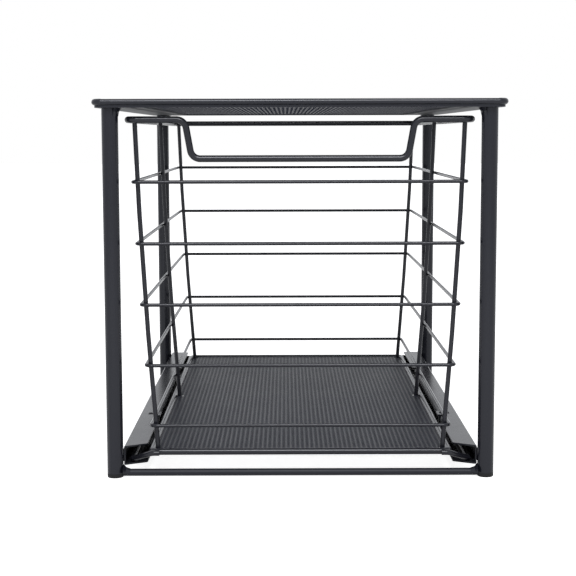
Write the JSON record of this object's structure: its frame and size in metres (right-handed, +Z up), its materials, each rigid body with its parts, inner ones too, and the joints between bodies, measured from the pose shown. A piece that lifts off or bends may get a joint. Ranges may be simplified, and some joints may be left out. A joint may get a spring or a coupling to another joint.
{
  "type": "pull out cabinet basket",
  "caption": "Wire basket with a mesh floor and a dipped handle that slides out on side rods in the C-shaped runners of a four-post rack under a mesh deck.",
  "frame": {"origin": "on the floor, in the middle of the rack's outline", "axes": "+X to the right, +Y to the back so that the handle is at -Y, +Z up"},
  "size_m": [0.292, 0.445, 0.2715],
  "materials": {
    "rack_steel": "semi-gloss black powder coat on welded steel tube, rod and band",
    "sheet_steel": "semi-gloss black powder coat on folded steel sheet",
    "basket_wire": "semi-gloss black powder coat on welded steel wire",
    "mesh_sheet": "semi-gloss black powder coat on perforated steel sheet",
    "foot_cap": "matt black moulded cap"
  },
  "bodies": {
    "rack": {"post_front_left": "rack_steel", "post_front_right": "rack_steel", "post_rear_left": "rack_steel", "post_rear_right": "rack_steel", "foot_front_left": "foot_cap", "foot_front_right": "foot_cap", "foot_rear_left": "foot_cap", "foot_rear_right": "foot_cap", "floor_bar_front": "rack_steel", "floor_bar_rear": "rack_steel", "bar_welds": "rack_steel", "top_rim": "rack_steel", "top_band": "rack_steel", "top_mesh": "mesh_sheet", "top_strip_left": "sheet_steel", "top_strip_right": "sheet_steel", "post_top_welds": "rack_steel", "runner_left": "sheet_steel", "runner_right": "sheet_steel", "runner_welds": "rack_steel"},
    "basket": {"basket_rim": "basket_wire", "basket_hoop_1": "basket_wire", "basket_hoop_2": "basket_wire", "basket_hoop_3": "basket_wire", "basket_hoop_4": "basket_wire", "basket_hoop_5": "basket_wire", "cross_wire_front": "basket_wire", "cross_wire_middle": "basket_wire", "cross_wire_rear": "basket_wire", "basket_base": "basket_wire", "basket_mesh": "mesh_sheet", "slide_rod_left": "basket_wire", "slide_rod_right": "basket_wire"}
  },
  "joints": [
    {"name": "basket_slide", "type": "slide", "parent": "rack", "child": "basket", "axis": [0, -1, 0], "range_m": [0, 0.228]}
  ]
}
